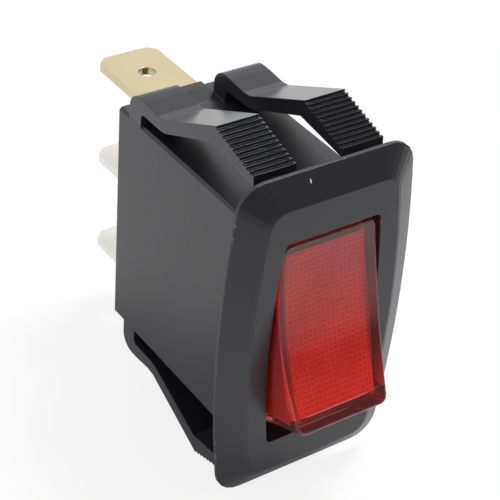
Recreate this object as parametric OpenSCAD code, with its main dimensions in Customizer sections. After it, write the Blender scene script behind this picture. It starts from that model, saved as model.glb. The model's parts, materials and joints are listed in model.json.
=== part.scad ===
// Lighted snap-in panel rocker switch with three push-on terminals.
// X runs across the switch, Y from the panel face back to the terminals, Z up the long side.
// The origin is the centre of the bezel's back face, where it lies on the panel.

/* [Bezel] */
// Height of the bezel
bezel_h = 32.9; // [32.6:0.1:36]
// Width of the bezel half way up
bezel_w = 19.6; // [18.6:0.1:22]
// Width of the bezel at its top and bottom
bezel_end_w = 17.3; // [16:0.1:18.4]
// Thickness of the bezel from the panel to its front face
bezel_t = 1.8; // [1.5:0.05:2.4]
// Thickness of the bezel's rim before its slope begins
bezel_rim_t = 0.35; // [0.2:0.05:0.7]
// How far the slope leans in between the rim and the front face
bezel_slope = 2.2; // [1.5:0.05:2.4]
// Corner radius of the rim
bezel_corner_r = 2.6; // [1.5:0.1:3]
// Height of the window
window_h = 21.6; // [21.4:0.1:22.2]
// Width of the window half way up
window_w = 11.1; // [10.9:0.05:11.4]
// Width of the window at its top and bottom
window_end_w = 9.7; // [9.5:0.05:10.2]

/* [Housing] */
// Wall of the body beside the cavity
side_wall = 1; // [0.9:0.05:1.4]
// Wall of the body above and below the cavity
end_wall = 0.85; // [0.75:0.05:1.5]
// Depth of the body behind the panel face
body_d = 22; // [21.6:0.1:24]
// Chamfer along the body's long edges
body_chamfer = 0.25; // [0.1:0.05:0.5]
// Thickness of the rear wall
rear_wall = 1.8; // [1.2:0.1:2.2]
// Height of the land that rises to the rear edge between the arms
land_h = 0.4; // [0.2:0.05:0.6]
// Length of that land along the body
land_l = 3; // [2:0.1:4]

/* [Snap arms] */
// Width of one arm
arm_w = 4.2; // [3.4:0.1:4.6]
// Thickness of an arm
arm_t = 1.3; // [1:0.05:1.5]
// Height of the slot between an arm's root and the body
arm_slot = 1.3; // [1:0.05:1.6]
// How far the arm's root stands in front of the body's rear face
arm_setback = 1.75; // [1.2:0.05:2.2]
// Length of the arm's root along the body
arm_root = 1.95; // [1.7:0.05:2.6]
// Height of the arm's highest corner above the body
arm_rise = 6.3; // [5.6:0.1:7]
// Distance of that corner behind the panel face
arm_corner_y = 6.7; // [6:0.1:7.4]
// Distance behind the panel face where the arm begins to rise
arm_bend_y = 15; // [14:0.1:15.6]
// Distance of the arm's free end behind the panel face
arm_end_y = 1; // [0.7:0.05:1.3]
// Thickness of the arm's free end
arm_end_t = 0.95; // [0.7:0.05:1.2]
// How far the grip drops from the corner to the free end
grip_drop = 1.6; // [1.2:0.05:2]
// Number of grip teeth
teeth = 11; // [7:1:13]
// Height of a grip tooth's step
tooth_h = 0.3; // [0.2:0.02:0.36]

/* [Rocker] */
// Distance of the rocker's pivot behind the panel face
pivot_y = 2.5; // [2.4:0.05:2.9]
// Tilt of the rocker to each side of level
rocker_tilt = 16; // [13:0.5:17]
// Depth of the hollow along the rocker's front
rocker_dish = 1.1; // [0.6:0.05:1.2]
// Distance of the rocker's open edge behind its pivot
skirt_depth = 1; // [0.9:0.05:1.3]
// Gap between the level rocker's ends and the window
rocker_end_gap = 1.9; // [1.8:0.05:2.4]
// How far the rocker's sides lean in towards its front, half way along
rocker_side_lean = 0.2; // [0.1:0.01:0.4]
// How far they lean in at its ends
rocker_tip_lean = 0.04; // [0.02:0.01:0.1]
// How far the rocker's ends lean in, for each millimetre forward
rocker_end_lean = 0.12; // [0.06:0.01:0.14]
// Radius of the rocker's upright corners
rocker_corner_r = 0.7; // [0.3:0.05:0.8]
// Chamfer round the rocker's front edge
rocker_edge = 0.25; // [0.15:0.05:0.35]
// Thickness of the rocker's side walls
lens_side_t = 0.95; // [0.8:0.05:1.05]
// Thickness of the rocker's end walls
lens_end_t = 1.2; // [1:0.05:1.4]
// Thickness of the rocker's front wall
lens_front_t = 1.3; // [1.1:0.05:1.4]
// Radius of the rocker's two pivot pins
pin_r = 1.9; // [1.7:0.05:2]
// Wall of the eyes that carry the pins behind the rocker's sides
eye_wall = 0.4; // [0.3:0.05:0.6]

/* [Lamp] */
// Thickness of the lamp carrier's floor
floor_t = 1.3; // [1.1:0.05:1.4]
// Radius of the lamp's glass
lamp_r = 1.75; // [1.5:0.05:1.8]
// Length of the lamp's glass
lamp_l = 9.6; // [8.4:0.1:10.4]
// Gap between the lamp and the rocker's front wall
lamp_gap = 0.4; // [0.3:0.05:0.9]
// Thickness of the lamp's glass
lamp_wall = 0.35; // [0.25:0.05:0.5]
// Radius of the resistor's body
resistor_r = 0.8; // [0.6:0.05:0.9]
// Length of the resistor's body
resistor_l = 3.6; // [3:0.1:4.2]
// Radius of the lead wires
wire_r = 0.2; // [0.15:0.01:0.24]
// Distance of each lamp contact in from the rocker's end
lamp_contact_inset = 2.1; // [2:0.05:2.4]
// Thickness of the carrier's floor left beside each lamp contact
lamp_contact_edge = 0.2; // [0.15:0.05:0.3]
// Radius of a lamp contact's head
lamp_contact_r = 1.1; // [0.95:0.05:1.15]

/* [Plunger] */
// Distance of the plunger's tip behind the pivot
plunger_reach = 11; // [10.6:0.1:11.6]
// Radius of the plunger and of its round tip
plunger_r = 1.4; // [1.2:0.05:1.5]
// Length of the plunger
plunger_l = 7.2; // [6.6:0.1:7.6]
// Depth of the hole in the plunger for its spring
plunger_hole = 4; // [3:0.1:4.6]
// Wall of the plunger's guide tube
tube_wall = 0.75; // [0.6:0.05:0.9]
// Distance of the guide tube's mouth behind the pivot
tube_reach = 7; // [6.4:0.1:7.4]

/* [Contacts] */
// Tilt of the contact lever to each side of level
lever_tilt = 5; // [4:0.25:5.5]
// Thickness of the contact lever
lever_t = 0.6; // [0.5:0.05:0.7]
// Width of the contact lever
lever_w = 4; // [3.6:0.05:4.2]
// Length of the contact lever
lever_l = 17.2; // [16.8:0.1:17.6]
// Half the length of the lever's curved middle
cradle_half = 3.2; // [3.1:0.05:3.5]
// Distance of the contacts from the lever's axis
contact_z = 7.2; // [7:0.05:7.3]
// Radius of the contact faces
contact_r = 1.35; // [1.1:0.05:1.4]
// Height of a contact's head
contact_h = 0.75; // [0.6:0.05:0.9]
// Radius of a contact's shank
shank_r = 0.65; // [0.5:0.05:0.75]

/* [Terminals] */
// Width of the push-on tabs
tab_w = 6.35; // [6.2:0.01:6.4]
// Thickness of the tabs
tab_t = 0.8; // [0.77:0.01:0.84]
// Length of the tabs behind the body
tab_l = 10.6; // [8:0.1:11]
// Gap between the outer terminals and the ends of the cavity
tab_end_gap = 0.25; // [0.2:0.05:0.4]
// Radius of the hole in each tab
tab_hole_r = 0.85; // [0.7:0.05:1]
// Distance of that hole from the tab's end
tab_hole_inset = 4.6; // [3.6:0.1:5]
// Chamfer at the tab's end corners
tab_corner = 1.25; // [0.8:0.05:1.5]
// Width of the tabs' shoulders inside the body
shoulder_w = 8; // [7.4:0.05:8.1]

/* [Springs] */
// Mean radius of the lamp contact springs
lamp_spring_r = 0.8; // [0.7:0.01:0.85]
// Radius of the lamp contact springs' wire
lamp_spring_wire = 0.16; // [0.12:0.01:0.2]
// Turns of each lamp contact spring
lamp_spring_turns = 8; // [6:1:10]
// Mean radius of the plunger's spring
plunger_spring_r = 0.62; // [0.55:0.01:0.66]
// Radius of the plunger spring's wire
plunger_spring_wire = 0.14; // [0.1:0.01:0.16]
// Turns of the plunger's spring
plunger_spring_turns = 8; // [6:1:10]

/* [Fits] */
// Side gap between the rocker and the window
rocker_gap = 0.22; // [0.18:0.01:0.3]
// Radial clearance of the pivot pins and the plunger
running_fit = 0.05; // [0.02:0.01:0.08]
// Gap where one part rests on another
rest_gap = 0.04; // [0.02:0.01:0.06]
// Gap round a fixed part in its seat
seat_gap = 0.05; // [0.02:0.01:0.1]

/* [Hidden] */
$fn = 48;
far = 60;
thin = 0.01;

// Body round its cavity, which runs back from the window
body_w = window_w + 2 * side_wall;
body_h = window_h + 2 * end_wall;

// Rocker, in its own level position with the pivot at the origin; its front clears the lamp
floor_front = floor_t - skirt_depth;
rocker_rise = floor_front + seat_gap + 2 * lamp_r + lamp_gap + lens_front_t + rocker_dish;
skirt_w = window_w - 2 * rocker_gap;
skirt_end_w = window_end_w - rocker_gap;
ridge_w = skirt_w - 2 * rocker_side_lean;
ridge_end_w = skirt_end_w - 2 * rocker_tip_lean;
rocker_l = window_h - 2 * rocker_end_gap;
lean_y = 3;
shoulder_l = rocker_l + 2 * rocker_end_lean * (rocker_rise - lean_y);
skirt_l = rocker_l + 2 * rocker_end_lean * (rocker_rise + skirt_depth);
dish_r = (pow(rocker_l / 2, 2) + pow(rocker_dish, 2)) / (2 * rocker_dish);
dish_y = rocker_rise - rocker_dish + dish_r;
pin_hole_r = pin_r + running_fit;
lens_inner_x = skirt_w / 2 - lens_side_t;
pin_inset = 0.25;

// Lamp and its carrier
lamp_y = -(floor_front + seat_gap + lamp_r);
pinch_z = -lamp_l / 2;
pinch_t = 2 * lamp_wall;
electrode_r = 0.25;
electrode_x = 0.6;
electrode_l = 4.5;
resistor_x = lamp_r + 2 * seat_gap + resistor_r;
resistor_y = -(floor_front + seat_gap + resistor_r);
resistor_z = -1;
lamp_contact_h = 0.4;
lamp_contact_z = rocker_l / 2 - lamp_contact_inset;
sleeve_r = wire_r + seat_gap + 0.15;
sleeve_front = floor_front + 0.5;
wire_hole_r = wire_r + seat_gap;
skirt_bow = (skirt_w - skirt_end_w) / 2 * pow(2 * lamp_contact_z / skirt_l, 2);
lamp_contact_x = lens_inner_x - skirt_bow - 2 * seat_gap - lamp_contact_edge - sleeve_r;

// Plunger and its guide
bore_r = plunger_r + running_fit;
tube_r = bore_r + tube_wall;
bore_floor = skirt_depth - 0.5;
plunger_back = plunger_reach - plunger_l;
plunger_hole_r = plunger_spring_r + plunger_spring_wire + running_fit;

// Contact lever: its curved middle follows the plunger's round tip as both of them tilt
ball_y = plunger_reach - plunger_r;
lever_front_y = pivot_y + plunger_reach + 2 * rest_gap;
edge_r = tab_t / 2;
lever_axis_y = lever_front_y + lever_t + rest_gap + edge_r;
function turned(p, a) = [p[0] * cos(a) - p[1] * sin(a), p[0] * sin(a) + p[1] * cos(a)];
ball_tilted = [pivot_y + ball_y * cos(rocker_tilt) - lever_axis_y, ball_y * sin(rocker_tilt)];
ball_end = turned(ball_tilted, lever_tilt);
ball_climb = (pivot_y + ball_y - lever_axis_y) - ball_end[0];
cradle_r = plunger_r + (pow(ball_end[1], 2) + pow(ball_climb, 2)) / (2 * ball_climb);
cradle_y = lever_front_y - cradle_r;
cradle_a = asin(cradle_half / cradle_r);
wing_y = cradle_y + cradle_r * cos(cradle_a);
cradle_back_a = acos((cradle_r * cos(cradle_a) + lever_t) / (cradle_r + lever_t));
waist_w = lever_w - 1.4;
waist_h = tab_t + 0.5;
dome_r = 3;
peen_r = shank_r + 0.35;
peen_h = 0.25;
shank_fit = 0.02;
dome_end = turned([wing_y + lever_t + contact_h - dome_r - lever_axis_y, -contact_z], lever_tilt);
fixed_face_y = lever_axis_y + dome_end[0] + dome_r + rest_gap;
shelf_y = fixed_face_y + contact_h;

// Stops moulded in the housing
inner_back = body_d - rear_wall;
stop_z = lamp_contact_z + lamp_spring_r + lamp_spring_wire + 0.39;
stop_x = shoulder_w / 2 + 0.15;
skirt_corner = turned([skirt_depth, skirt_l / 2], -rocker_tilt);
rocker_stop_y = pivot_y + skirt_corner[0] + rest_gap;
post_w = 2.4;
post_z0 = 7.2;
post_z1 = lever_l / 2;
lever_back_end = turned([wing_y + lever_t - lever_axis_y, post_z1], -lever_tilt);
post_y = lever_axis_y + lever_back_end[0] + rest_gap;

// Terminals
tab_pitch = window_h / 2 - tab_t / 2 - tab_end_gap;
slot_w = tab_w + 2 * seat_gap;
slot_t = tab_t + 2 * seat_gap;
tab_end_y = body_d + tab_l;
tab_lead_in = 0.25;
prong_front_y = lever_axis_y - edge_r - lever_t - 0.7;
knife_w = waist_w + 0.3;
finger_x0 = lever_w / 2 + 0.4;
finger_x1 = lamp_contact_x + lamp_spring_r + lamp_spring_wire + 0.2;
shelf_inner_z = 5.3;
shelf_half_w = 3;
ear_z = stop_z - 0.25;
seat_z = lamp_contact_z - 0.3;
seat_stud_r = lamp_spring_r - lamp_spring_wire - 0.12;
seat_stud_h = 0.7;

// Snap arm profile
arm_embed = 0.4;
root_y = body_d - arm_setback;
slot_back_y = root_y - arm_root;
arm_hump = arm_slot + arm_t + 0.1;
root_round = min(1.6, arm_root - 0.2);
slot_round = 0.5;
grip_end_z = arm_rise - grip_drop;
tooth_run = (arm_corner_y - arm_end_y - 0.1) / teeth;
tooth_fall = grip_drop / teeth;
apex_y = arm_corner_y + 0.45;
apex_z = arm_rise - 1.35 * arm_t;

function arc(c, r, from, to, n) =
    [for (i = [0:n]) let (a = from + (to - from) * i / n) [c[0] + r * cos(a), c[1] + r * sin(a)]];

// One quarter of an outline whose long sides bow outwards, up from its waist and round its corner
function quarter(h, w, w_end, r) =
    let (
        bow = (w - w_end) / 2 / pow(h / 2, 2),
        a0 = atan(2 * bow * (h / 2 - r)),
        z1 = h / 2 - r * (1 - sin(a0)),
        x1 = w / 2 - bow * z1 * z1
    )
    concat(
        [for (i = [0:7]) let (z = z1 * i / 8) [w / 2 - bow * z * z, z]],
        arc([x1 - r * cos(a0), z1 - r * sin(a0)], r, a0, 90, 5)
    );

module bowed(h, w, w_end, r) {
    q = quarter(h, w, w_end, r);
    n = len(q) - 1;
    polygon(concat(
        q,
        [for (i = [n:-1:0]) [-q[i][0], q[i][1]]],
        [for (i = [1:n]) [-q[i][0], -q[i][1]]],
        [for (i = [n:-1:1]) [q[i][0], -q[i][1]]]
    ));
}

// Extrudes an X-Z outline from y0 back to y1
module along_y(y0, y1) {
    translate([0, y1, 0]) rotate([90, 0, 0]) linear_extrude(y1 - y0) children();
}

// Extrudes a Y-Z outline from x0 to x1
module along_x(x0, x1) {
    translate([x0, 0, 0]) rotate([90, 0, 90]) linear_extrude(x1 - x0) children();
}

// Turns a shape made along +Z so that it points back along +Y
module to_back() {
    rotate([-90, 0, 0]) children();
}

module box(x0, x1, y0, y1, z0, z1) {
    translate([x0, y0, z0]) cube([x1 - x0, y1 - y0, z1 - z0]);
}

// Places what is modelled on the level rocker at the rocker's resting tilt, top end pressed in
module on_rocker() {
    translate([0, pivot_y, 0]) rotate([-rocker_tilt, 0, 0]) children();
}

// Places what is modelled on the level lever at the lever's resting tilt, lower contact closed
module on_lever() {
    translate([0, lever_axis_y, 0]) rotate([lever_tilt, 0, 0]) translate([0, -lever_axis_y, 0]) children();
}

// ---- Housing ----

module bezel() {
    hull() {
        along_y(-bezel_rim_t, 0) bowed(bezel_h, bezel_w, bezel_end_w, bezel_corner_r);
        along_y(-bezel_t + 0.12, -bezel_t + 0.12 + thin)
            bowed(bezel_h - 2 * bezel_slope + 0.25, bezel_w - 2 * bezel_slope + 0.25,
                  bezel_end_w - 2 * bezel_slope + 0.25, bezel_corner_r - 0.8);
        along_y(-bezel_t, -bezel_t + thin)
            bowed(bezel_h - 2 * bezel_slope - 0.35, bezel_w - 2 * bezel_slope - 0.35,
                  bezel_end_w - 2 * bezel_slope - 0.35, bezel_corner_r - 1);
    }
}

module body_outline() {
    x = body_w / 2;
    z = body_h / 2;
    c = body_chamfer;
    polygon([
        [x - c, -z], [x, -z + c], [x, z - c], [x - c, z],
        [-x + c, z], [-x, z - c], [-x, -z + c], [-x + c, -z]
    ]);
}

// Side view of the arm above the body: root, hump, rising strip, toothed grip and free end
module arm_profile() {
    grip = [for (i = [0:teeth - 1])
        let (y = arm_corner_y - i * tooth_run, z = arm_rise - i * tooth_fall)
        each [[y, z], [y, z - tooth_h]]];
    polygon(concat(
        [[root_y, -arm_embed]],
        arc([root_y - root_round, arm_hump - root_round], root_round, 0, 90, 6),
        [[slot_back_y - 0.6, arm_hump], [arm_bend_y + 0.6, arm_hump - 0.2],
         [arm_bend_y - 0.4, arm_hump - 0.08]],
        grip,
        [[arm_end_y + 0.1, grip_end_z], [arm_end_y, grip_end_z - arm_end_t],
         [apex_y, apex_z],
         [arm_bend_y - 0.7, arm_slot + 0.12], [arm_bend_y, arm_slot]],
        arc([slot_back_y - slot_round, arm_slot - slot_round], slot_round, 90, 0, 3),
        [[slot_back_y, -arm_embed]]
    ));
}

module arm() {
    along_x(body_w / 2 - arm_w, body_w / 2) translate([0, body_h / 2]) arm_profile();
}

// Land between the arms: it rises from the body to the rear edge, with its long edges chamfered
module land() {
    x = body_w / 2 - arm_w;
    c = land_h * 0.6;
    translate([0, 0, body_h / 2])
    intersection() {
        along_x(-x, x) polygon([
            [body_d - land_l, -arm_embed], [body_d - land_l, 0], [body_d - land_l / 3, land_h],
            [body_d, land_h], [body_d, -arm_embed]
        ]);
        along_y(body_d - land_l, body_d) polygon([
            [-x, -arm_embed], [x, -arm_embed], [x, land_h - c],
            [x - c, land_h], [-x + c, land_h], [-x, land_h - c]
        ]);
    }
}

module housing() {
    color([0.12, 0.12, 0.13])
    difference() {
        union() {
            bezel();
            along_y(-bezel_rim_t, body_d) body_outline();
            for (sx = [0, 1], sz = [0, 1]) mirror([sx, 0, 0]) mirror([0, 0, sz]) arm();
            for (sz = [0, 1]) mirror([0, 0, sz]) land();
        }
        difference() {
            along_y(-far, inner_back) bowed(window_h, window_w, window_end_w, 0.5);
            for (sx = [0, 1], sz = [0, 1]) mirror([sx, 0, 0]) mirror([0, 0, sz])
                box(stop_x, far, rocker_stop_y, body_d, stop_z, far);
            box(-post_w / 2, post_w / 2, post_y, body_d, post_z0, post_z1);
        }
        translate([-far, pivot_y, 0]) rotate([0, 90, 0]) cylinder(r = pin_hole_r, h = 2 * far);
        for (i = [-1:1])
            translate([0, 0, i * tab_pitch])
                box(-slot_w / 2, slot_w / 2, inner_back - 1, body_d + 1, -slot_t / 2, slot_t / 2);
    }
}

// ---- Terminals ----

// Flat blade in its own plane: tab outside, shoulders inside, down to y_front
module blade(y_front) {
    difference() {
        intersection() {
            union() {
                translate([0, 0, -tab_t / 2]) linear_extrude(tab_t) polygon([
                    [-tab_w / 2, inner_back - 1], [tab_w / 2, inner_back - 1],
                    [tab_w / 2, tab_end_y - tab_corner], [tab_w / 2 - tab_corner, tab_end_y],
                    [-tab_w / 2 + tab_corner, tab_end_y], [-tab_w / 2, tab_end_y - tab_corner]
                ]);
                box(-shoulder_w / 2, shoulder_w / 2, y_front, inner_back - seat_gap, -tab_t / 2, tab_t / 2);
            }
            along_x(-far, far) polygon([
                [0, -tab_t / 2], [tab_end_y - 2 * tab_lead_in, -tab_t / 2],
                [tab_end_y, -tab_t / 2 + tab_lead_in], [tab_end_y, tab_t / 2 - tab_lead_in],
                [tab_end_y - 2 * tab_lead_in, tab_t / 2], [0, tab_t / 2]
            ]);
        }
        translate([0, tab_end_y - tab_hole_inset, -far]) cylinder(r = tab_hole_r, h = 2 * far);
    }
}

// Middle terminal: its rounded front edge is the knife that the lever rocks on, between two prongs
module line_terminal() {
    color([0.83, 0.82, 0.8])
    union() {
        blade(lever_axis_y);
        difference() {
            box(-shoulder_w / 2, shoulder_w / 2, prong_front_y, lever_axis_y, -tab_t / 2, tab_t / 2);
            box(-knife_w / 2, knife_w / 2, 0, lever_axis_y + 1, -far, far);
        }
        translate([-knife_w / 2, lever_axis_y, 0]) rotate([0, 90, 0]) cylinder(r = edge_r, h = knife_w);
    }
}

// Stud that centres a lamp contact spring on a terminal
module spring_seat(x, z) {
    translate([x, shelf_y - seat_stud_h, z]) to_back() cylinder(r = seat_stud_r, h = seat_stud_h + tab_t / 2);
}

// Lower terminal: bent up inside to a shelf that holds the fixed contact and a spring seat
module load_terminal() {
    color([0.83, 0.82, 0.8])
    difference() {
        union() {
            translate([0, 0, -tab_pitch]) blade(shelf_y + tab_t / 2);
            along_y(shelf_y, shelf_y + tab_t) polygon([
                [-shelf_half_w, -tab_pitch - tab_t / 2], [shelf_half_w, -tab_pitch - tab_t / 2],
                [shelf_half_w, -ear_z], [finger_x1, -ear_z], [finger_x1, -shelf_inner_z],
                [-shelf_half_w, -shelf_inner_z]
            ]);
            spring_seat(lamp_contact_x, -seat_z);
        }
        translate([0, 0, -contact_z]) to_back() cylinder(r = shank_r + shank_fit, h = far);
    }
}

// Upper terminal of the lamp circuit: bent down inside to a narrow finger with a spring seat
module lamp_terminal() {
    color([0.85, 0.76, 0.5])
    union() {
        translate([0, 0, tab_pitch]) blade(shelf_y + tab_t / 2);
        along_y(shelf_y, shelf_y + tab_t) polygon([
            [-shoulder_w / 2, tab_pitch + tab_t / 2], [-finger_x0, tab_pitch + tab_t / 2],
            [-finger_x0, shelf_inner_z], [-finger_x1, shelf_inner_z], [-finger_x1, ear_z],
            [-shoulder_w / 2, ear_z]
        ]);
        spring_seat(-lamp_contact_x, seat_z);
    }
}

// ---- Contacts ----

// Contact lever seen from the side: a hollowed middle and two flat wings
module lever_profile() {
    z = lever_l / 2;
    middle = [cradle_y, 0];
    polygon(concat(
        [[wing_y, -z]],
        arc(middle, cradle_r, -cradle_a, cradle_a, 12),
        [[wing_y, z], [wing_y + lever_t, z]],
        arc(middle, cradle_r + lever_t, cradle_back_a, -cradle_back_a, 12),
        [[wing_y + lever_t, -z]]
    ));
}

module contact_lever() {
    color([0.8, 0.45, 0.3])
    on_lever()
    difference() {
        along_x(-lever_w / 2, lever_w / 2) lever_profile();
        for (s = [0, 1]) mirror([s, 0, 0])
            box(waist_w / 2, far, 0, body_d, -waist_h / 2, waist_h / 2);
        translate([0, 0, -contact_z]) to_back() cylinder(r = shank_r + shank_fit, h = far);
    }
}

// Domed silver contact, riveted through the lever's lower wing
module moving_contact() {
    head_y = wing_y + lever_t;
    color([0.9, 0.9, 0.88])
    on_lever()
    translate([0, 0, -contact_z])
    union() {
        intersection() {
            translate([0, head_y, 0]) to_back() cylinder(r = contact_r, h = contact_h);
            translate([0, head_y + contact_h - dome_r, 0]) sphere(r = dome_r);
        }
        translate([0, wing_y - peen_h, 0]) to_back() cylinder(r = peen_r, h = peen_h);
        translate([0, wing_y - peen_h, 0]) to_back() cylinder(r = shank_r, h = lever_t + 2 * peen_h);
    }
}

// Flat silver contact, riveted through the lower terminal's shelf
module fixed_contact() {
    color([0.9, 0.9, 0.88])
    translate([0, 0, -contact_z])
    union() {
        translate([0, fixed_face_y, 0]) to_back() cylinder(r = contact_r, h = contact_h);
        translate([0, fixed_face_y + peen_h, 0]) to_back() cylinder(r = shank_r, h = contact_h + tab_t);
        translate([0, shelf_y + tab_t, 0]) to_back() cylinder(r = peen_r, h = peen_h);
    }
}

// ---- Rocker ----

// Solid form of the rocker, drawn in by side and end all round
module rocker_form(side, end) {
    hull() {
        along_y(-rocker_rise, -rocker_rise + thin)
            bowed(rocker_l - 2 * end - 2 * rocker_edge, ridge_w - 2 * side - 2 * rocker_edge,
                  ridge_end_w - 2 * side - 2 * rocker_edge, rocker_corner_r - rocker_edge / 2);
        along_y(-rocker_rise + rocker_edge, -rocker_rise + rocker_edge + thin)
            bowed(rocker_l - 2 * end, ridge_w - 2 * side, ridge_end_w - 2 * side, rocker_corner_r);
        along_y(-lean_y, -lean_y + thin)
            bowed(shoulder_l - 2 * end, skirt_w - 2 * side, skirt_end_w - 2 * side, rocker_corner_r);
        along_y(skirt_depth - thin, skirt_depth)
            bowed(skirt_l - 2 * end, skirt_w - 2 * side, skirt_end_w - 2 * side, rocker_corner_r);
    }
}

module dish(depth) {
    translate([-far, -dish_y, 0]) rotate([0, 90, 0]) cylinder(r = dish_r + depth, h = 2 * far, $fn = 180);
}

// Hollow red rocker with its two pivot pins, each on an eye of the side wall
module rocker_lens() {
    color([0.8, 0.1, 0.08, 0.8])
    on_rocker()
    union() {
        difference() {
            rocker_form(0, 0);
            dish(0);
            difference() {
                translate([0, thin, 0]) rocker_form(lens_side_t, lens_end_t);
                dish(lens_front_t);
            }
        }
        for (s = [0, 1]) mirror([s, 0, 0]) {
            translate([lens_inner_x, 0, 0]) rotate([0, 90, 0])
                cylinder(r = pin_r + eye_wall, h = lens_side_t - rest_gap);
            translate([lens_inner_x + lens_side_t / 2, 0, 0]) rotate([0, 90, 0])
                cylinder(r = pin_r, h = body_w / 2 - pin_inset - lens_inner_x - lens_side_t / 2);
        }
    }
}

// Moulded floor of the rocker: lamp saddles in front, plunger guide behind
module lamp_carrier() {
    side = lens_side_t + seat_gap;
    end = lens_end_t + rocker_end_lean * floor_t + seat_gap;
    color([0.93, 0.92, 0.87])
    on_rocker()
    difference() {
        union() {
            along_y(-floor_front, skirt_depth)
                bowed(skirt_l - 2 * end, skirt_w - 2 * side, skirt_end_w - 2 * side, rocker_corner_r);
            for (z = [-1, 1]) box(-lamp_r - 0.4, lamp_r * 0.9, lamp_y, 0, z * 2.8 - 0.4, z * 2.8 + 0.4);
            to_back() cylinder(r = tube_r, h = tube_reach);
        }
        translate([0, lamp_y, -far]) cylinder(r = lamp_r + seat_gap, h = 2 * far);
        translate([0, bore_floor, 0]) to_back() cylinder(r = bore_r, h = far);
        translate([-resistor_x, resistor_y, -far]) cylinder(r = resistor_r + seat_gap, h = 2 * far);
        for (s = [-1, 1]) translate([-s * lamp_contact_x, -far, s * lamp_contact_z])
            to_back() cylinder(r = sleeve_r + seat_gap, h = 2 * far);
    }
}

// ---- Lamp ----

module bulb(r, l) {
    translate([0, 0, pinch_z]) {
        cylinder(r = r, h = l - r);
        translate([0, 0, l - r]) sphere(r = r);
    }
}

module lamp_glass() {
    color([0.95, 0.85, 0.75, 0.5])
    on_rocker()
    translate([0, lamp_y, 0])
    difference() {
        bulb(lamp_r, lamp_l);
        translate([0, 0, pinch_t]) bulb(lamp_r - lamp_wall, lamp_l - pinch_t - lamp_wall);
        for (s = [-1, 1]) translate([s * electrode_x, 0, pinch_z - 1])
            cylinder(r = wire_r + thin, h = pinch_t + 1.1);
    }
}

module lamp_electrodes() {
    color([0.6, 0.6, 0.6])
    on_rocker()
    for (s = [-1, 1]) translate([s * electrode_x, lamp_y, pinch_z + pinch_t])
        cylinder(r = electrode_r, h = electrode_l);
}

// Closed tube through a list of rings
module tube(rings) {
    sides = len(rings[0]);
    n = len(rings) - 1;
    polyhedron(
        points = [for (ring = rings) each ring],
        faces = concat(
            [[for (k = [sides - 1:-1:0]) k]],
            [for (i = [0:n - 1], k = [0:sides - 1])
                let (a = i * sides + k, b = i * sides + (k + 1) % sides)
                each [[a, b + sides, a + sides], [a, b, b + sides]]],
            [[for (k = [0:sides - 1]) n * sides + k]]
        )
    );
}

function unit(v) = v / norm(v);

// Rings of a wire that turns at each point, mitred; each ring is the last one pushed on along the wire
function wire_rings(points, i, ring) =
    i == len(points) - 1 ? [ring] :
    let (
        way = unit(points[i + 1] - points[i]),
        next = i + 2 < len(points) ? unit(points[i + 2] - points[i + 1]) : way,
        mitre = unit(way + next)
    )
    concat([ring], wire_rings(points, i + 1,
        [for (p = ring) p + way * (((points[i + 1] - p) * mitre) / (way * mitre))]));

// Bent wire through a list of points, the first stretch along Z
module wire(points) {
    sides = 12;
    turn = points[1][2] > points[0][2] ? -1 : 1;
    start = [for (k = [0:sides - 1])
        let (a = 360 * k / sides) points[0] + wire_r * [cos(a), turn * sin(a), 0]];
    tube(wire_rings(points, 0, start));
}

// Straight into the sleeve of the lamp contact on side s
function into_sleeve(s) = [
    [-s * lamp_contact_x, -sleeve_front - 0.5, s * lamp_contact_z],
    [-s * lamp_contact_x, skirt_depth - 0.2, s * lamp_contact_z]
];

module lamp_lead() {
    color([0.75, 0.75, 0.75])
    on_rocker()
    wire(concat(
        [[electrode_x, lamp_y, pinch_z + pinch_t], [electrode_x, lamp_y, pinch_z - 0.8]],
        into_sleeve(-1)
    ));
}

module resistor() {
    cap_l = resistor_l / 5;
    color([0.75, 0.65, 0.5])
    on_rocker()
    translate([-resistor_x, resistor_y, resistor_z - resistor_l / 2]) {
        cylinder(r = resistor_r * 0.85, h = resistor_l);
        for (z = [0, resistor_l - cap_l]) translate([0, 0, z]) cylinder(r = resistor_r, h = cap_l);
    }
}

module resistor_leads() {
    low = resistor_z - resistor_l / 2;
    high = resistor_z + resistor_l / 2;
    color([0.75, 0.75, 0.75])
    on_rocker() {
        wire([
            [-electrode_x, lamp_y, pinch_z + pinch_t], [-electrode_x, lamp_y, pinch_z - 0.8],
            [-resistor_x, resistor_y, pinch_z - 0.8], [-resistor_x, resistor_y, low]
        ]);
        wire(concat(
            [[-resistor_x, resistor_y, high], [-resistor_x, resistor_y, lamp_contact_z - 1]],
            into_sleeve(1)
        ));
    }
}

// Brass rivet under the carrier's floor with a hollow shank for the lead
module lamp_contact(s) {
    color([0.85, 0.76, 0.5])
    on_rocker()
    translate([-s * lamp_contact_x, 0, s * lamp_contact_z])
    difference() {
        union() {
            translate([0, skirt_depth, 0]) to_back() cylinder(r = lamp_contact_r, h = lamp_contact_h);
            translate([0, -sleeve_front, 0]) to_back()
                cylinder(r = sleeve_r, h = sleeve_front + skirt_depth + thin);
        }
        translate([0, -far, 0]) to_back() cylinder(r = wire_hole_r, h = far + skirt_depth);
    }
}

module upper_lamp_contact() {
    lamp_contact(1);
}

module lower_lamp_contact() {
    lamp_contact(-1);
}

// ---- Springs ----

// Height of the wire along a coil spring with one closed turn at each end
function coil_height(s, turns, length, wire) =
    let (closed = 2.1 * wire, free = length - 2 * wire, open = (free - 2 * closed) / (turns - 2))
    wire + (s < 1 ? s * closed : s > turns - 1 ? free - (turns - s) * closed : closed + (s - 1) * open);

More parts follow.
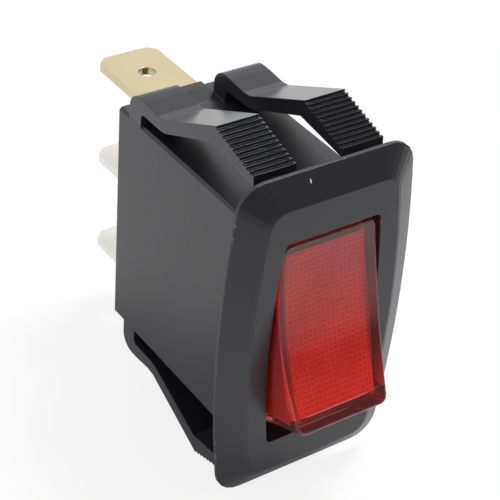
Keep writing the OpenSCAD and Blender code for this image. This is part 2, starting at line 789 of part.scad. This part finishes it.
// Coil spring from one seat to another; the far seat may be tilted about X
module coil(r, wire, turns, seat, tip, tilt) {
    sides = 6;
    per_turn = 12;
    n = turns * per_turn;
    length = norm(tip - seat);
    rings = [for (i = [0:n])
        let (
            a = 360 * i / per_turn,
            h = coil_height(i / per_turn, turns, length, wire),
            t = tilt * h / length,
            up = [0, sin(t), cos(t)],
            out = [cos(a), 0, 0] + sin(a) * up,
            along = [0, -cos(t), sin(t)],
            c = seat + (tip - seat) * h / length + r * out
        )
        [for (k = [0:sides - 1]) c + wire * (cos(60 * k) * out + sin(60 * k) * along)]];
    tube(rings);
}

// Lamp contact spring from a terminal's seat to the contact above it on the tilted rocker
module lamp_spring(s) {
    pad = turned([skirt_depth + lamp_contact_h + rest_gap, s * lamp_contact_z], -rocker_tilt);
    color([0.78, 0.78, 0.78])
    coil(lamp_spring_r, lamp_spring_wire, lamp_spring_turns,
         [-s * lamp_contact_x, shelf_y - rest_gap, s * seat_z],
         [-s * lamp_contact_x, pivot_y + pad[0], pad[1]], rocker_tilt);
}

module upper_lamp_spring() {
    lamp_spring(1);
}

module lower_lamp_spring() {
    lamp_spring(-1);
}

module plunger_spring() {
    color([0.78, 0.78, 0.78])
    on_rocker()
    coil(plunger_spring_r, plunger_spring_wire, plunger_spring_turns,
         [0, plunger_back + plunger_hole - rest_gap, 0], [0, bore_floor + rest_gap, 0], 0);
}

// ---- Plunger ----

module plunger() {
    color([0.85, 0.83, 0.75])
    on_rocker()
    difference() {
        union() {
            translate([0, plunger_back, 0]) to_back() cylinder(r = plunger_r, h = plunger_l - plunger_r);
            translate([0, ball_y, 0]) sphere(r = plunger_r);
        }
        translate([0, plunger_back - 1, 0]) to_back() cylinder(r = plunger_hole_r, h = plunger_hole + 1);
    }
}

housing();
line_terminal();
load_terminal();
lamp_terminal();
fixed_contact();
contact_lever();
moving_contact();
rocker_lens();
lamp_carrier();
lamp_glass();
lamp_electrodes();
lamp_lead();
resistor();
resistor_leads();
upper_lamp_contact();
lower_lamp_contact();
upper_lamp_spring();
lower_lamp_spring();
plunger();
plunger_spring();
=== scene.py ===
import json
import math

import bmesh
import bpy
from mathutils import Matrix, Vector


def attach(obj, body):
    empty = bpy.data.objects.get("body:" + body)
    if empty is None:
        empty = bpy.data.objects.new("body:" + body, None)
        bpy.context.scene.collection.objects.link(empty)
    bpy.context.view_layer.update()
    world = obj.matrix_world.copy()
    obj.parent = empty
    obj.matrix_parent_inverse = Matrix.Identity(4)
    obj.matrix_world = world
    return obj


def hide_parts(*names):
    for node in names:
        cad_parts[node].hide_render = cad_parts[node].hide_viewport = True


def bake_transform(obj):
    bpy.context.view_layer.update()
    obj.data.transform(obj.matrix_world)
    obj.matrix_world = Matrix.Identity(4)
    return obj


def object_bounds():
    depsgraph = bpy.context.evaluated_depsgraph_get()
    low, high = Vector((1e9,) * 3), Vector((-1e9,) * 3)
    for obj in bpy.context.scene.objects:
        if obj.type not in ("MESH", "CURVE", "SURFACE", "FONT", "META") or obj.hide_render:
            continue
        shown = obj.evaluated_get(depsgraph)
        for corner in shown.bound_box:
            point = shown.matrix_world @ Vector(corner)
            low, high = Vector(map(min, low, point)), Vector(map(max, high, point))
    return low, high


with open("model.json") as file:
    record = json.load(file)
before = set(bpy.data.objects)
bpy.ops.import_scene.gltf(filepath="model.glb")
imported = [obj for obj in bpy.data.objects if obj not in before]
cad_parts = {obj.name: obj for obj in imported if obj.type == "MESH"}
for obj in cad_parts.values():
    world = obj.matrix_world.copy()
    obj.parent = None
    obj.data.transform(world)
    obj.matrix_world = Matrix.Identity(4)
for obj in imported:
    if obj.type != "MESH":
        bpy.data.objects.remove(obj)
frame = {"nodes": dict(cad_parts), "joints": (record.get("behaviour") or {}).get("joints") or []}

cad_box = [list(map(float, corner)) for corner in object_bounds()]

# ---- Camera ----
# A long lens, set left of the switch, in front of it and above it, so that the lit front,
# the bare side and the three tabs all show.
scene = bpy.context.scene
camera_data = bpy.data.cameras.new("camera")
camera_data.lens = 113.66
camera_data.sensor_width = 36
camera_data.clip_start = 0.01
camera = bpy.data.objects.new("camera", camera_data)
scene.collection.objects.link(camera)
right = Vector((0.82668029, -0.55849675, 0.0684184))
down = Vector((-0.28103053, -0.51517055, -0.80970436))
ahead = Vector((0.4874644, 0.65013898, -0.58283598))
turned = Matrix((right, -down, -ahead)).transposed().to_4x4()
camera.matrix_world = Matrix.Translation((-0.069463, -0.083142, 0.084556)) @ turned
scene.camera = camera

# ---- Studio ----
# A white table that runs out past the view, one lamp high on the right, and a pale room
# that is dimmer in front of the switch, so that its gloss shows light and dark.
def linear(code):
    """An sRGB hex colour as the linear colour that a socket takes."""
    steps = [int(code[i:i + 2], 16) / 255 for i in (1, 3, 5)]
    return tuple(c / 12.92 if c < 0.04045 else ((c + 0.055) / 1.055) ** 2.4 for c in steps) + (1.0,)


def add_node(tree, kind, inputs=None, **settings):
    """Adds a shader node; inputs maps a socket's name or number to a value or to another node's output."""
    made = tree.nodes.new("ShaderNode" + kind)
    for name, value in settings.items():
        setattr(made, name, value)
    for name, value in (inputs or {}).items():
        if isinstance(value, bpy.types.NodeSocket):
            tree.links.new(value, made.inputs[name])
        else:
            made.inputs[name].default_value = value
    return made


world = bpy.data.worlds.new("pale_room")
scene.world = world
world.use_nodes = True
room = world.node_tree
rays = add_node(room, "LightPath")
heading = add_node(room, "SeparateXYZ", {0: add_node(room, "TexCoord").outputs["Generated"]})
mirrored = add_node(room, "MapRange", {"Value": heading.outputs["Y"], "From Min": -0.6, "From Max": 0.4, "To Min": 0.15, "To Max": 1.05})
level = add_node(room, "MapRange", {"Value": rays.outputs["Is Glossy Ray"], "To Min": 0.55, "To Max": mirrored.outputs[0]})
straight = add_node(room, "Math", {0: rays.outputs["Is Camera Ray"], 1: rays.outputs["Is Transmission Ray"]}, operation="MAXIMUM")
level = add_node(room, "MapRange", {"Value": straight.outputs[0], "To Min": level.outputs[0], "To Max": 1.0})
sky = room.nodes["Background"]
sky.inputs["Color"].default_value = (1, 1, 1, 1)
room.links.new(level.outputs[0], sky.inputs["Strength"])

table_mesh = bpy.data.meshes.new("table")
shape = bmesh.new()
bmesh.ops.create_grid(shape, x_segments=1, y_segments=1, size=1.5, matrix=Matrix.Translation((0, 0, cad_box[0][2] - 0.00005)))
shape.to_mesh(table_mesh)
shape.free()
table = bpy.data.objects.new("table", table_mesh)
scene.collection.objects.link(table)
paint = bpy.data.materials.new("white_table_paint")
paint.use_nodes = True
tree = paint.node_tree
matt = tree.nodes["Principled BSDF"]
matt.inputs["Base Color"].default_value = linear("#f2f2f2")
matt.inputs["Roughness"].default_value = 0.9
glow = add_node(tree, "Emission", {"Color": (1, 1, 1, 1), "Strength": 1.0})
rays = add_node(tree, "LightPath")
shone = add_node(tree, "Math", {0: rays.outputs["Is Glossy Ray"], 1: rays.outputs["Is Transmission Ray"]}, operation="MAXIMUM")
shone = add_node(tree, "Math", {0: shone.outputs[0], 1: 0.15}, operation="MULTIPLY")
share = add_node(tree, "MapRange", {"Value": rays.outputs["Is Camera Ray"], "To Min": shone.outputs[0], "To Max": 0.84})
# in front of the switch the sheet runs out of the light, which only its gloss shows
shade = add_node(tree, "Emission", {"Color": (1, 1, 1, 1), "Strength": 0.16})
ahead_y = add_node(tree, "SeparateXYZ", {0: add_node(tree, "TexCoord").outputs["Object"]}).outputs["Y"]
fade = add_node(tree, "MapRange", {"Value": ahead_y, "From Min": -0.035, "From Max": -0.12})
fade = add_node(tree, "Math", {0: fade.outputs[0], 1: rays.outputs["Is Glossy Ray"]}, operation="MULTIPLY")
dim = add_node(tree, "MixShader", {0: fade.outputs[0], 1: matt.outputs[0], 2: shade.outputs[0]})
share = add_node(tree, "Math", {0: share.outputs[0], 1: fade.outputs[0]}, operation="SUBTRACT", use_clamp=True)
both = add_node(tree, "MixShader", {0: share.outputs[0], 1: dim.outputs[0], 2: glow.outputs[0]})
tree.links.new(both.outputs[0], tree.nodes["Material Output"].inputs["Surface"])
table_mesh.materials.append(paint)

lamp_place = Vector((0.26, 0.06, 0.60))
lamp_data = bpy.data.lights.new("main_lamp", "AREA")
lamp_data.shape = "DISK"
lamp_data.size = 0.2
lamp_data.energy = 3.6
lamp = bpy.data.objects.new("main_lamp", lamp_data)
scene.collection.objects.link(lamp)
lamp.matrix_world = Matrix.Translation(lamp_place) @ lamp_place.to_track_quat("Z", "Y").to_matrix().to_4x4()

# ---- Housing ----
# One black nylon moulding: bezel, body and four snap arms. The tool's walls are lightly
# spark eroded, which leaves an even satin; the arms' inserts are polished and shine.
def new_material(name):
    """An empty material with its tree and its main shader."""
    made = bpy.data.materials.new(name)
    made.use_nodes = True
    return made, made.node_tree, made.node_tree.nodes["Principled BSDF"]


def dress(node, material):
    """Gives a CAD node its finish."""
    slots = frame["nodes"][node].data.materials
    slots.clear()
    slots.append(material)


black_nylon, tree, shader = new_material("black_nylon_moulded_satin")
place = add_node(tree, "TexCoord").outputs["Object"]
axes = add_node(tree, "SeparateXYZ", {0: place})
flow = add_node(tree, "TexNoise", {"Vector": place, "Scale": 120.0, "Detail": 3.0})
tone = add_node(tree, "MixRGB", {0: flow.outputs["Fac"], 1: linear("#202026"), 2: linear("#28282e")})
# a pale nick on the slope over the window, and pale specks along the bezel's edges: partly worn spots, partly a painted
# highlight where the lit edges catch the light
nick = add_node(tree, "VectorMath", {0: place, 1: (-0.00226, -0.00085, 0.0157)}, operation="SUBTRACT")
nick = add_node(tree, "VectorMath", {0: nick.outputs[0], 1: (13000, 4200, 4200)}, operation="MULTIPLY")
nick = add_node(tree, "VectorMath", {0: nick.outputs[0]}, operation="LENGTH")
nick = add_node(tree, "MapRange", {"Value": nick.outputs["Value"], "From Min": 1.0, "From Max": 0.7})
edge = add_node(tree, "VectorMath", {0: add_node(tree, "NewGeometry").outputs["True Normal"], 1: add_node(tree, "Bevel", {"Radius": 0.00008}, samples=6).outputs[0]}, operation="DOT_PRODUCT")
edge = add_node(tree, "MapRange", {"Value": edge.outputs["Value"], "From Min": 0.99, "From Max": 0.93})
speck = add_node(tree, "TexNoise", {"Vector": place, "Scale": 1500.0, "Detail": 1.0})
speck = add_node(tree, "MapRange", {"Value": speck.outputs["Fac"], "From Min": 0.69, "From Max": 0.72})
# pale specks on the bezel's edges: painted highlight on the lit edges, together with worn spots
highlight_and_wear_specks = add_node(tree, "Math", {0: edge.outputs[0], 1: speck.outputs[0]}, operation="MULTIPLY")
bezel_only = add_node(tree, "Math", {0: axes.outputs["Y"], 1: 0.0004}, operation="LESS_THAN")
highlight_and_wear_specks = add_node(tree, "Math", {0: highlight_and_wear_specks.outputs[0], 1: bezel_only.outputs[0]}, operation="MULTIPLY")
pale = add_node(tree, "Math", {0: nick.outputs[0], 1: highlight_and_wear_specks.outputs[0]}, operation="MAXIMUM")
tone = add_node(tree, "MixRGB", {0: pale.outputs[0], 1: tone.outputs[0], 2: linear("#cbc8c2")})
tree.links.new(tone.outputs[0], shader.inputs["Base Color"])
body_top = 0.0117
outside = add_node(tree, "Math", {0: axes.outputs["Z"]}, operation="ABSOLUTE")
outside = add_node(tree, "Math", {0: outside.outputs[0], 1: body_top}, operation="GREATER_THAN")
behind = add_node(tree, "Math", {0: axes.outputs["Y"], 1: 0.0006}, operation="GREATER_THAN")
polished = add_node(tree, "Math", {0: outside.outputs[0], 1: behind.outputs[0]}, operation="MULTIPLY")
rough = add_node(tree, "MapRange", {"Value": polished.outputs[0], "To Min": 0.36, "To Max": 0.2})
tree.links.new(rough.outputs[0], shader.inputs["Roughness"])
grain = add_node(tree, "TexNoise", {"Vector": place, "Scale": 4200.0, "Detail": 2.0})
depth = add_node(tree, "MapRange", {"Value": polished.outputs[0], "To Min": 0.3, "To Max": 0.06})
height = add_node(tree, "Math", {0: grain.outputs["Fac"], 1: depth.outputs[0]}, operation="MULTIPLY")
rounded = add_node(tree, "Bevel", {"Radius": 0.00012}, samples=6)
relief = add_node(tree, "Bump", {"Height": height.outputs[0], "Normal": rounded.outputs[0], "Strength": 1.0, "Distance": 0.00004})
tree.links.new(relief.outputs[0], shader.inputs["Normal"])
shader.inputs["IOR"].default_value = 1.5
dress("housing", black_nylon)

# ---- Rocker ----
# Clear red polycarbonate, polished outside. Behind the front is a field of small moulded
# pyramids that scatter the lamp's light, and fine slanting ribs line the side walls.
red_lens, tree, shader = new_material("red_polycarbonate_polished")
place = add_node(tree, "TexCoord").outputs["Object"]
ripple = add_node(tree, "TexNoise", {"Vector": place, "Scale": 300.0, "Detail": 1.0})
rounded = add_node(tree, "Bevel", {"Radius": 0.00025}, samples=8)
relief = add_node(tree, "Bump", {"Height": ripple.outputs["Fac"], "Normal": rounded.outputs[0], "Strength": 0.3, "Distance": 0.00003})
tree.links.new(relief.outputs[0], shader.inputs["Normal"])
shader.inputs["Base Color"].default_value = linear("#ff7c70")
shader.inputs["Transmission Weight"].default_value = 0.95
shader.inputs["Roughness"].default_value = 0.03
shader.inputs["IOR"].default_value = 1.58
shader.inputs["Specular IOR Level"].default_value = 0.36

rocker_pivot = next(joint for joint in frame["joints"] if joint["name"] == "rocker_pivot")
rocker_tilt = math.radians(rocker_pivot["range_deg"][1] / 2)
rocker_place = Matrix.Translation(rocker_pivot["pos_m"]) @ Matrix.Rotation(-rocker_tilt, 4, "X")
rocker_rise = 0.00665
shoulder_rise = 0.003
rocker_half_length = 0.0089
side_wall = 0.00095
end_wall = 0.0012
dish_centre = -0.042105
dish_radius = 0.036555
front_wall = 0.0013


def half_width(y, z):
    """Half the rocker's outer width: bowed along Z, and leaning in from shoulder to ridge."""
    lean = min(max((-y - shoulder_rise) / (rocker_rise - shoulder_rise), 0), 1)
    middle = 0.00533 - 0.0002 * lean
    end = 0.00474 - 0.00004 * lean
    return middle - (middle - end) * (z / rocker_half_length) ** 2


def add_piece(name, shape, material):
    """Makes a finished bmesh a piece of the object."""
    mesh = bpy.data.meshes.new(name)
    shape.to_mesh(mesh)
    shape.free()
    mesh.materials.append(material)
    piece = bpy.data.objects.new(name, mesh)
    scene.collection.objects.link(piece)
    return piece


def merged_copy(node):
    """A bmesh of a CAD node with its loose triangles joined."""
    shape = bmesh.new()
    shape.from_mesh(frame["nodes"][node].data)
    bmesh.ops.remove_doubles(shape, verts=shape.verts, dist=0.000001)
    return shape


shape = merged_copy("rocker_lens")
bmesh.ops.dissolve_limit(shape, angle_limit=math.radians(0.3), verts=shape.verts, edges=shape.edges)
rims = []
for e in shape.edges:
    if len(e.link_faces) == 2 and e.calc_face_angle() > math.radians(25):
        ends = [rocker_place.inverted() @ v.co for v in e.verts]
        if all(p.y < -0.0045 and (abs(p.x) > half_width(p.y, p.z) - 0.0006 or abs(p.z) > rocker_half_length - 0.0006) for p in ends):
            rims.append(e)
bmesh.ops.bevel(shape, geom=rims, offset=0.00009, offset_type="OFFSET", affect="EDGES", segments=3, profile=0.5, material=-1, clamp_overlap=False)
shell = add_piece("rocker_shell", shape, red_lens)
shell.data.shade_smooth()
shell.data.set_sharp_from_angle(angle=math.radians(30))
shell.modifiers.new("even_faces", "WEIGHTED_NORMAL").keep_sharp = True
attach(shell, "rocker")
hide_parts("rocker_lens")


red_prisms, tree, shader = new_material("red_polycarbonate_prisms")
place = add_node(tree, "TexCoord").outputs["Object"]
# the mottling stands in for dim reflections and the darker inside seen through the front: painted reflection and shade,
# scattered at random
cloud = add_node(tree, "TexNoise", {"Vector": place, "Scale": 260.0, "Detail": 2.0})
cloud = add_node(tree, "MapRange", {"Value": cloud.outputs["Fac"], "From Min": 0.35, "From Max": 0.62})
tone = add_node(tree, "MixRGB", {0: cloud.outputs[0], 1: linear("#ee4234"), 2: linear("#ff6650")})
# painted shade: the upper part of the prism field, which faces down and away from the light above, is darkened to 0.88
# of its red, and the lower part, which faces up, keeps its full red
lighter_downwards = add_node(tree, "MapRange", {"Value": add_node(tree, "SeparateXYZ", {0: place}).outputs["Z"], "From Min": 0.004, "From Max": -0.004, "To Min": 0.88, "To Max": 1.0})
tone = add_node(tree, "MixRGB", {0: lighter_downwards.outputs[0], 1: (0, 0, 0, 1), 2: tone.outputs[0]})
tip = add_node(tree, "Attribute", attribute_name="tip")
tip = add_node(tree, "MapRange", {"Value": tip.outputs["Fac"], "From Min": 0.35, "To Max": 0.65})
tone = add_node(tree, "MixRGB", {0: tip.outputs[0], 1: tone.outputs[0], 2: linear("#8c1612")})
tree.links.new(tone.outputs[0], shader.inputs["Base Color"])
shader.inputs["Roughness"].default_value = 0.22
shader.inputs["IOR"].default_value = 1.58

pitch = 0.00048
prism_height = 0.00016
field_half_length = rocker_half_length - end_wall + 0.0001
across = round(2 * 0.0042 / pitch)
along = round(2 * field_half_length / pitch)
shape = bmesh.new()
bmesh.ops.create_grid(shape, x_segments=across, y_segments=along, size=1)
inner_radius = dish_radius + front_wall
for v in shape.verts:
    z = v.co.y * field_half_length
    y = dish_centre + math.sqrt(inner_radius ** 2 - z ** 2)
    v.co = Vector((v.co.x * (half_width(y, z) - side_wall + 0.0001), y - 0.00003, z))
front = list(shape.faces)
copied = bmesh.ops.duplicate(shape, geom=shape.verts[:] + shape.edges[:] + shape.faces[:])
bmesh.ops.translate(shape, vec=(0, 0.00012, 0), verts=[g for g in copied["geom"] if isinstance(g, bmesh.types.BMVert)])
bmesh.ops.reverse_faces(shape, faces=[g for g in copied["geom"] if isinstance(g, bmesh.types.BMFace)])
bmesh.ops.bridge_loops(shape, edges=[e for e in shape.edges if e.is_boundary])
bmesh.ops.recalc_face_normals(shape, faces=shape.faces)
shape.normal_update()
tip = shape.verts.layers.float.new("tip")
for v in bmesh.ops.poke(shape, faces=front, offset=prism_height)["verts"]:
    v[tip] = 1
bmesh.ops.transform(shape, matrix=rocker_place, verts=shape.verts)
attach(add_piece("rocker_prisms", shape, red_prisms), "rocker")

red_ribs, tree, shader = new_material("red_polycarbonate_ribs")
place = add_node(tree, "TexCoord").outputs["Object"]
cloud = add_node(tree, "TexNoise", {"Vector": place, "Scale": 500.0, "Detail": 2.0})
tone = add_node(tree, "MixRGB", {0: cloud.outputs["Fac"], 1: linear("#8c1a1c"), 2: linear("#b82622")})
# lighter red towards the bottom of the side walls
lighter_downwards = add_node(tree, "MapRange", {"Value": add_node(tree, "SeparateXYZ", {0: place}).outputs["Z"], "From Min": -0.0015, "From Max": -0.0075})
tone = add_node(tree, "MixRGB", {0: lighter_downwards.outputs[0], 1: tone.outputs[0], 2: linear("#de3a34")})
tree.links.new(tone.outputs[0], shader.inputs["Base Color"])
shader.inputs["Roughness"].default_value = 0.3
shader.inputs["IOR"].default_value = 1.58

rib_pitch = 0.00035
rib_height = 0.00007
rib_slope = math.radians(35)
for side in (-1, 1):
    shape = bmesh.new()
    rows = 2 * round(0.024 / rib_pitch)
    bmesh.ops.create_grid(shape, x_segments=rows, y_segments=16, size=1, matrix=Matrix.Diagonal((0.012, 0.012, 0.012, 1)))
    for v in shape.verts:
        v.co.z = rib_height * (round((v.co.x + 0.012) / 0.024 * rows) % 2)
    bmesh.ops.rotate(shape, matrix=Matrix.Rotation(side * rib_slope, 3, "Z"), verts=shape.verts)
    for cut, facing in (((-0.0047, 0, 0), (-1, 0, 0)), ((0.0008, 0, 0), (1, 0, 0)), ((0, -0.0084, 0), (0, -1, 0)), ((0, 0.0084, 0), (0, 1, 0))):
        bmesh.ops.bisect_plane(shape, geom=shape.verts[:] + shape.edges[:] + shape.faces[:], plane_co=cut, plane_no=facing, clear_outer=True)
    copied = bmesh.ops.duplicate(shape, geom=shape.verts[:] + shape.edges[:] + shape.faces[:])
    for g in copied["geom"]:
        if isinstance(g, bmesh.types.BMVert):
            g.co.z = -0.00008
    bmesh.ops.bridge_loops(shape, edges=[e for e in shape.edges if e.is_boundary])
    for v in shape.verts:
        y, z, proud = v.co
        v.co = Vector((side * (half_width(y, z) - side_wall + 0.0001 + proud), y, z))
    bmesh.ops.recalc_face_normals(shape, faces=shape.faces)
    bmesh.ops.transform(shape, matrix=rocker_place, verts=shape.verts)
    name = "rocker_ribs_left" if side < 0 else "rocker_ribs_right"
    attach(add_piece(name, shape, red_ribs), "rocker")

white_nylon, tree, shader = new_material("white_nylon_moulded")
shader.inputs["Base Color"].default_value = linear("#ece8dc")
shader.inputs["Roughness"].default_value = 0.5
shader.inputs["IOR"].default_value = 1.53
dress("lamp_carrier", white_nylon)
dress("plunger", white_nylon)

# ---- Tabs ----
# Stamped brass strip; the middle and lower ones are tin plated. Rolling leaves faint
# lines along the strip, and stamping rounds the edges.
def rolled_metal(name, colour, roughness):
    """Rolled strip: faint long lines and a soft, uneven shine."""
    made, tree, shader = new_material(name)
    place = add_node(tree, "TexCoord").outputs["Object"]
    stretched = add_node(tree, "Mapping", {"Vector": place, "Scale": (1, 0.06, 1)})
    lines = add_node(tree, "TexNoise", {"Vector": stretched.outputs[0], "Scale": 2600.0, "Detail": 3.0})
    cloud = add_node(tree, "TexNoise", {"Vector": place, "Scale": 260.0, "Detail": 3.0})
    rough = add_node(tree, "MapRange", {"Value": cloud.outputs["Fac"], "To Min": roughness - 0.06, "To Max": roughness + 0.08})
    tree.links.new(rough.outputs[0], shader.inputs["Roughness"])
    rounded = add_node(tree, "Bevel", {"Radius": 0.0001}, samples=6)
    relief = add_node(tree, "Bump", {"Height": lines.outputs["Fac"], "Normal": rounded.outputs[0], "Strength": 0.25, "Distance": 0.00003})
    tree.links.new(relief.outputs[0], shader.inputs["Normal"])
    shader.inputs["Base Color"].default_value = linear(colour)
    shader.inputs["Metallic"].default_value = 1.0
    return made


tin_plate = rolled_metal("tin_plated_brass_strip", "#dedad3", 0.34)
pale_brass = rolled_metal("pale_brass_strip", "#cdbf9c", 0.32)
dress("line_terminal", tin_plate)
dress("load_terminal", tin_plate)
dress("lamp_terminal", pale_brass)
dress("upper_lamp_contact", pale_brass)
dress("lower_lamp_contact", pale_brass)
dress("contact_lever", rolled_metal("rolled_copper_strip", "#d08a63", 0.3))
silver = rolled_metal("contact_silver", "#eeeeea", 0.25)
dress("moving_contact", silver)
dress("fixed_contact", silver)

# ---- Lamp ----
# Neon lamp: a glass envelope with two nickel rods, in series with a lacquered resistor.
clear_glass, tree, shader = new_material("lamp_glass")
shader.inputs["Transmission Weight"].default_value = 1.0
shader.inputs["Roughness"].default_value = 0.02
shader.inputs["IOR"].default_value = 1.5
dress("lamp_glass", clear_glass)
nickel = rolled_metal("drawn_nickel_wire", "#b8b4ac", 0.3)
for node in ("lamp_electrodes", "lamp_lead", "resistor_leads"):
    dress(node, nickel)
lacquer, tree, shader = new_material("resistor_lacquer")
shader.inputs["Base Color"].default_value = linear("#c2a176")
shader.inputs["Roughness"].default_value = 0.3
dress("resistor", lacquer)

# ---- Springs ----
# Three coil springs of drawn wire. Two carry the lamp's current from the tabs to the
# rocker, and one presses the plunger; each is a still copy of its CAD coil.
steel = rolled_metal("drawn_spring_wire", "#bdbab4", 0.28)
slide = next(joint for joint in frame["joints"] if joint["name"] == "plunger_slide")
for node, fixed, moving, forwards in (
    ("upper_lamp_spring", "root", "rocker", Vector((0, -1, 0))),
    ("lower_lamp_spring", "root", "rocker", Vector((0, -1, 0))),
    ("plunger_spring", "plunger", "rocker", Vector(slide["axis"])),
):
    coil = add_piece(node + "_coil", merged_copy(node), steel)
    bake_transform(coil)
    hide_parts(node)

scene.view_settings.view_transform = "Standard"
